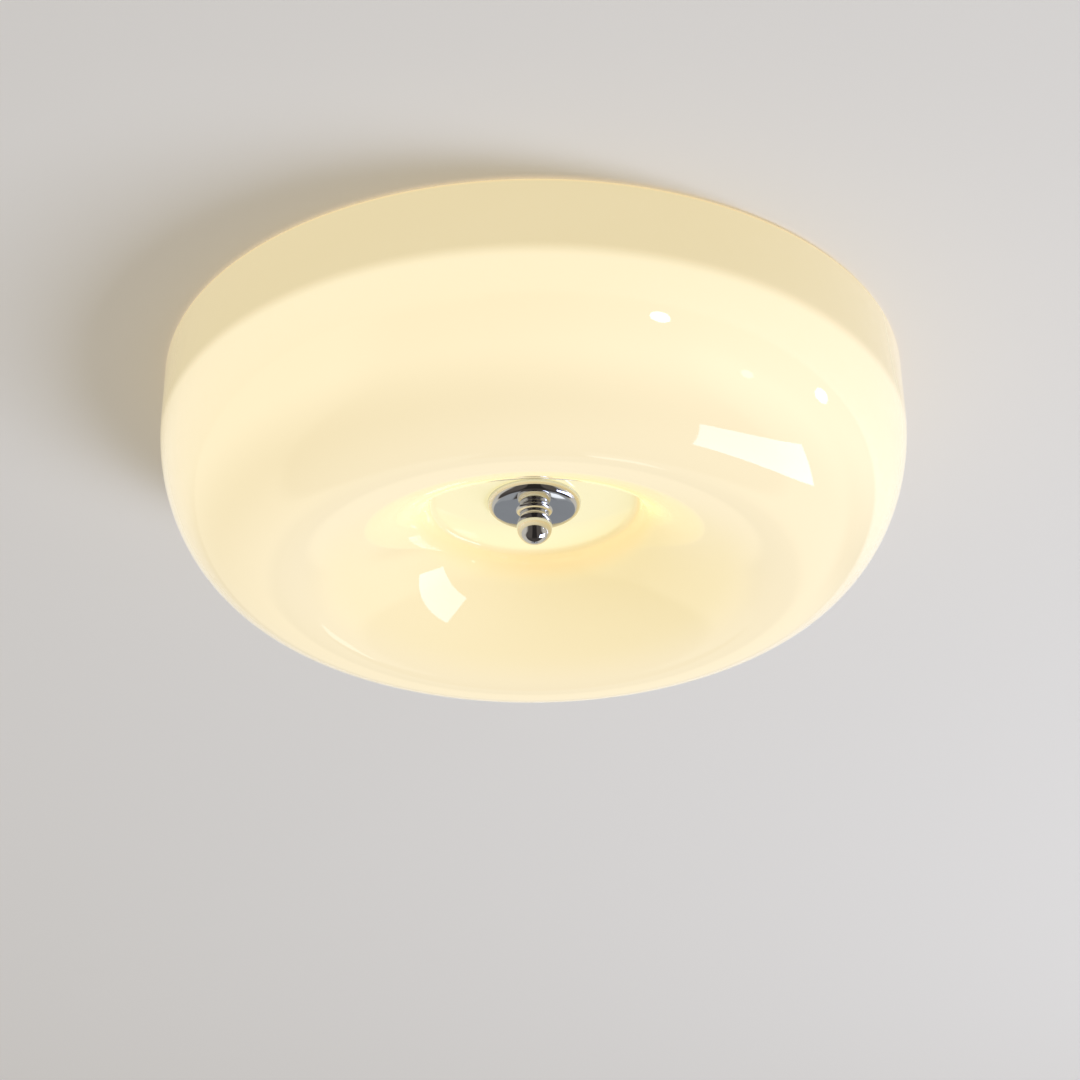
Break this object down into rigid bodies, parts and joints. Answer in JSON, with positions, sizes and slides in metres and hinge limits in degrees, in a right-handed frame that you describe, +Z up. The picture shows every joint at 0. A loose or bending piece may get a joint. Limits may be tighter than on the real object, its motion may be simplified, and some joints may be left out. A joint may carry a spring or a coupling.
{
  "type": "flush mount ceiling light",
  "caption": "Round flush ceiling light: a cream glass ring shade with a hollow middle, held under a steel pan by a chromed cap and a ball knob on a threaded tube.",
  "frame": {"origin": "middle of the plane that lies on the ceiling, on the lamp's axis", "axes": "+Z up into the ceiling, the lamp's axis; +X along the strap and its screw slots; the lamp hangs below the origin"},
  "size_m": [0.3999, 0.4, 0.1174],
  "materials": {
    "opal_glass": "glossy cream opal glass, lit from inside",
    "white_pan": "satin white powder coat",
    "zinc_steel": "zinc-plated pressed steel",
    "chrome": "bright chrome",
    "tube_steel": "zinc-plated threaded steel",
    "silicone": "translucent silicone",
    "white_foam": "closed-cell foam",
    "board_white": "white solder mask on aluminium",
    "chip_yellow": "yellow phosphor",
    "clear_lens": "moulded clear lens",
    "driver_white": "fine moulded texture",
    "board_green": "green circuit board",
    "transformer_yellow": "taped winding on a ferrite core",
    "capacitor_black": "sleeved can",
    "terminal_white": "moulded nylon",
    "brass": "plain brass",
    "lead_brown": "PVC insulation",
    "lead_blue": "PVC insulation",
    "lead_earth": "green and yellow PVC insulation",
    "lead_red": "PVC insulation",
    "lead_black": "PVC insulation",
    "plug_white": "moulded plug",
    "grommet_black": "moulded rubber"
  },
  "bodies": {
    "base": {"mounting_strap": "zinc_steel", "hanging_bolts": "zinc_steel", "lock_nuts": "zinc_steel", "pan_washers": "zinc_steel", "cap_nuts": "chrome", "base_pan": "white_pan", "ceiling_seal": "white_foam", "threaded_tube": "tube_steel", "tube_nuts": "zinc_steel", "lock_washer": "zinc_steel", "tube_washer": "zinc_steel", "stop_washer": "zinc_steel", "led_board": "board_white", "board_screws": "zinc_steel", "led_chips": "chip_yellow", "led_lenses": "clear_lens", "driver_case": "driver_white", "driver_lid": "driver_white", "driver_board": "board_green", "transformer": "transformer_yellow", "capacitors": "capacitor_black", "driver_screws": "zinc_steel", "terminal_block": "terminal_white", "terminal_sleeves": "brass", "clamp_screws": "zinc_steel", "terminal_screws": "zinc_steel", "live_lead": "lead_brown", "neutral_lead": "lead_blue", "earth_lead": "lead_earth", "positive_lead": "lead_red", "negative_lead": "lead_black", "led_plug": "plug_white", "lead_grommet": "grommet_black", "toothed_washer": "zinc_steel", "earth_lug": "brass", "earth_screw": "zinc_steel", "strap_earth_screw": "zinc_steel", "side_bumpers": "silicone"},
    "shade": {"glass_shade": "opal_glass", "shade_bush": "silicone", "cap_gasket": "silicone"},
    "cap": {"chrome_cap": "chrome"},
    "knob": {"ball_knob": "chrome"}
  },
  "joints": [
    {"name": "shade_drop", "type": "slide", "parent": "base", "child": "shade", "axis": [0, 0, -1], "range_m": [0, 0.15]},
    {"name": "cap_drop", "type": "slide", "parent": "shade", "child": "cap", "axis": [0, 0, -1], "range_m": [0, 0.013]},
    {"name": "knob_turn", "type": "hinge", "parent": "cap", "child": "knob", "pos_m": [0, 0, -0.0824], "axis": [0, 0, -1], "range_deg": [0, 4690]}
  ],
  "couplings": [
    {"joint": "knob_turn", "follows": "cap_drop", "rad_per_m": 6283.2}
  ]
}
